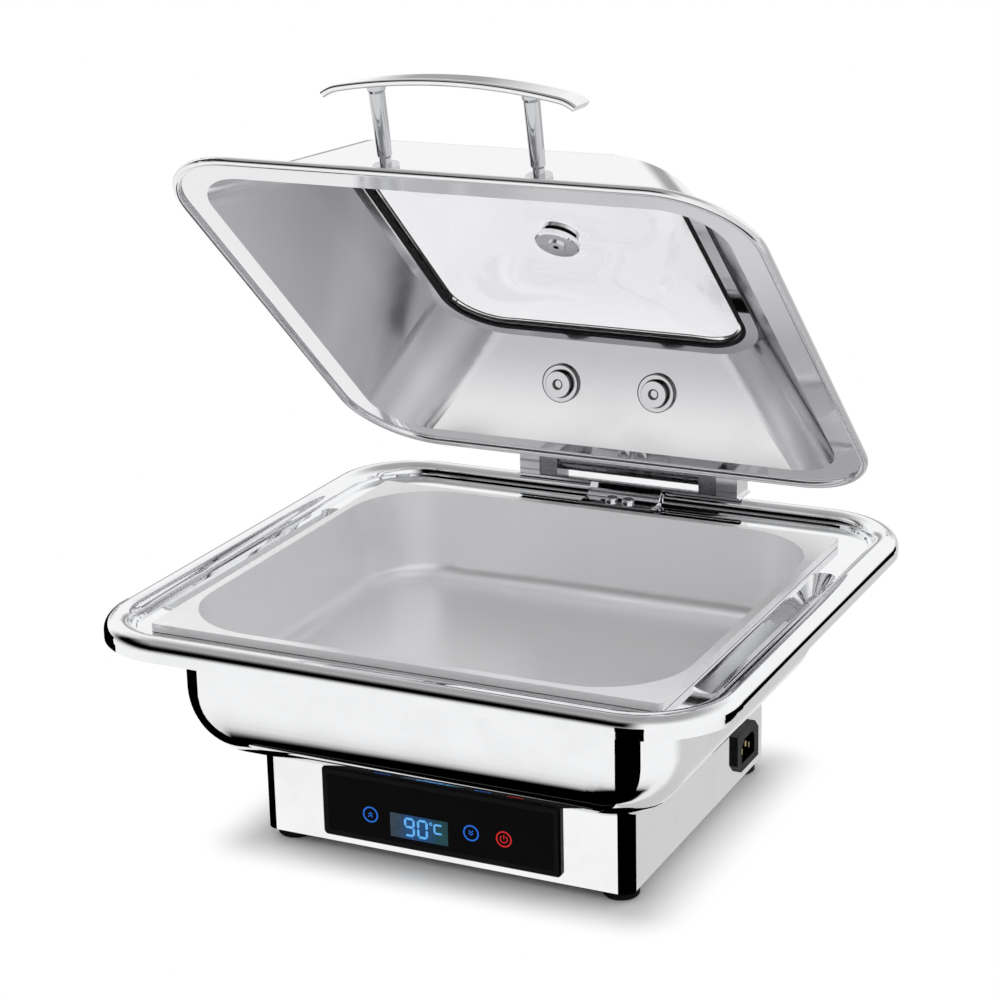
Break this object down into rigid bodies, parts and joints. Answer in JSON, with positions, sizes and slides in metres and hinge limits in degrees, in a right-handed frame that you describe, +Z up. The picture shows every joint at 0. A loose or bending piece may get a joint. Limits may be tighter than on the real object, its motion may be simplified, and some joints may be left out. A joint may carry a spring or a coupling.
{
  "type": "electric chafing dish",
  "caption": "Countertop food warmer: heater base with a touch panel, water pan with a wide beaded rim, loose food pan, and a hinged lid with a window and a handle.",
  "frame": {"origin": "on the floor under the middle of the dish's outline, with the lid as stored", "axes": "+X to the right seen from the front, +Y to the back where the hinge is, +Z up"},
  "size_m": [0.436, 0.424, 0.5107],
  "materials": {
    "chrome": "mirror polished stainless steel",
    "satin_steel": "satin stainless steel",
    "black_rubber": "matt",
    "black_plastic": "fine grain",
    "touch_glass": "gloss black",
    "display": "blue display",
    "window_glass": "clear tempered glass",
    "dark_steel": "dark grey satin",
    "aluminium": "cast",
    "zinc_steel": "zinc plated",
    "ceramic": "glazed ceramic",
    "circuit_board": "green board",
    "brass": "plain"
  },
  "bodies": {
    "base": {"base_housing": "chrome", "board_parts": "black_plastic", "board_screws": "zinc_steel", "bottom_cover": "satin_steel", "control_board": "circuit_board", "cover_screws": "zinc_steel", "damper_barrel": "dark_steel", "display_module": "display", "element_clamps": "zinc_steel", "element_insulators": "ceramic", "element_pins": "brass", "foot_front_left": "black_rubber", "foot_front_right": "black_rubber", "foot_nuts": "zinc_steel", "foot_rear_left": "black_rubber", "foot_rear_right": "black_rubber", "foot_screws": "zinc_steel", "heat_shield": "zinc_steel", "heating_element": "zinc_steel", "heating_plate": "aluminium", "hinge_bushing_left": "dark_steel", "hinge_bushing_right": "dark_steel", "hinge_knuckle_left": "chrome", "hinge_knuckle_right": "chrome", "hinge_plate": "chrome", "hinge_plate_bolts": "chrome", "hinge_plate_nuts": "zinc_steel", "hinge_shaft": "satin_steel", "inlet_pins": "brass", "pan_studs": "zinc_steel", "panel_frame": "black_plastic", "power_inlet": "black_plastic", "rim_skirt": "chrome", "shield_spacers": "zinc_steel", "stud_nuts": "zinc_steel", "temperature_sensor": "zinc_steel", "terminal_block": "ceramic", "thermal_cutout": "zinc_steel", "touch_glass": "touch_glass", "touch_springs": "zinc_steel", "water_pan": "chrome"},
    "food_pan": {"food_pan": "satin_steel"},
    "lid": {"bracket_bolts": "chrome", "bracket_round_nuts": "chrome", "handle_bar": "chrome", "handle_post_left": "chrome", "handle_post_right": "chrome", "handle_screws": "zinc_steel", "lid_bracket": "chrome", "lid_shell": "chrome", "post_collars": "chrome", "vent_body": "chrome", "vent_disc": "chrome", "vent_seals": "black_rubber", "window_gasket": "black_rubber", "window_glass": "window_glass", "window_ring": "chrome"}
  },
  "joints": [
    {"name": "lid_hinge", "type": "hinge", "parent": "base", "child": "lid", "pos_m": [0, 0.2048, 0.203], "axis": [-1, 0, 0], "range_deg": [-42.7, 47.3]},
    {"name": "food_pan_lift", "type": "slide", "parent": "base", "child": "food_pan", "axis": [0, 0, 1], "range_m": [0, 0.006]}
  ]
}
